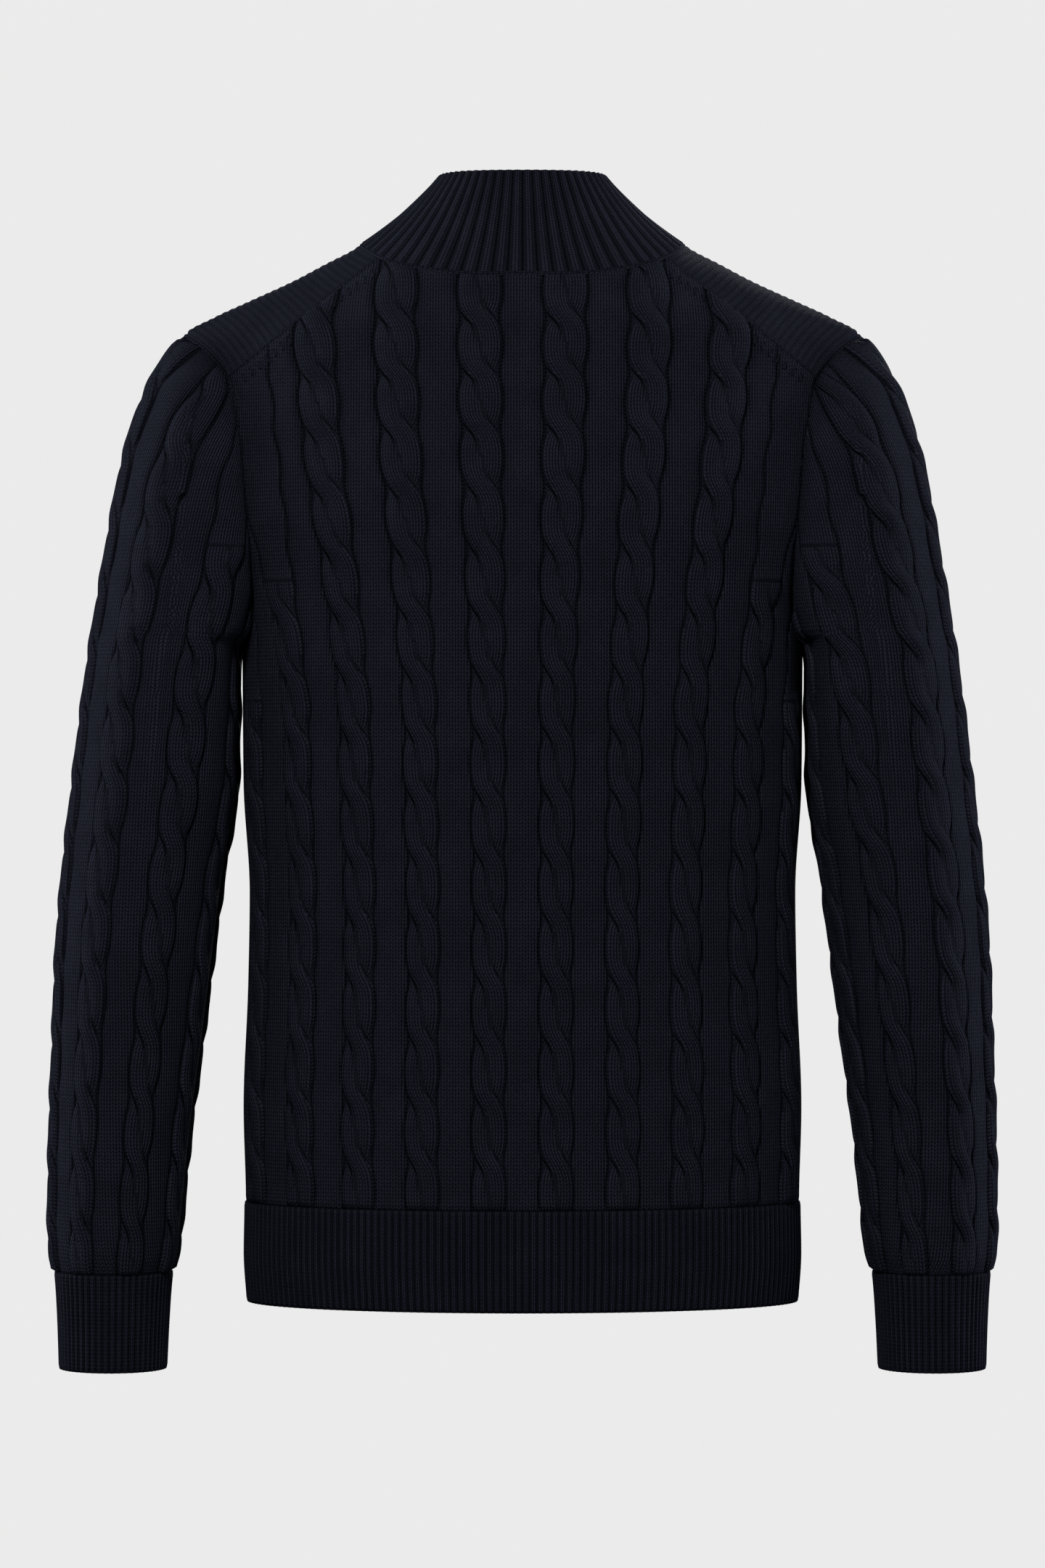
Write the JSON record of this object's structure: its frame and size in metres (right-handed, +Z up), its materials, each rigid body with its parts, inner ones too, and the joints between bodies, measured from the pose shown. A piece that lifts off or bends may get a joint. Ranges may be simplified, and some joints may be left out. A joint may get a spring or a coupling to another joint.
{
  "type": "zip-up cardigan",
  "caption": "Cable-knit zip-up cardigan held open as if worn, with ribbed stand collar, shoulder yokes, cuffs and hem, and a swinging zip pull.",
  "frame": {"origin": "on the midline, at the height where the neck seam crosses the shoulders", "axes": "+Z up, the wearer's front toward -Y, the wearer's left toward +X"},
  "size_m": [0.6215, 0.2217, 0.7796],
  "materials": {
    "knit": "matte",
    "rib_knit": "matte",
    "zip_tape": "matte",
    "zip_metal": "satin"
  },
  "bodies": {
    "cloth": {"back_panel": "knit", "front_left": "knit", "front_right": "knit", "sleeve_left": "knit", "sleeve_right": "knit", "collar": "rib_knit", "cuff_left": "rib_knit", "cuff_right": "rib_knit", "hem_back": "rib_knit", "hem_front_left": "rib_knit", "hem_front_right": "rib_knit", "yoke_left": "rib_knit", "yoke_right": "rib_knit", "zip_tape_left": "zip_tape", "zip_tape_right": "zip_tape", "zip_chain": "zip_metal", "zip_bottom_box": "zip_metal", "zip_slider": "zip_metal"},
    "pull": {"zip_pull": "zip_metal"}
  },
  "joints": [
    {"name": "pull_swing", "type": "hinge", "parent": "cloth", "child": "pull", "pos_m": [0, -0.07454, -0.02312], "axis": [-1, 0, 0], "range_deg": [0, 150]}
  ]
}
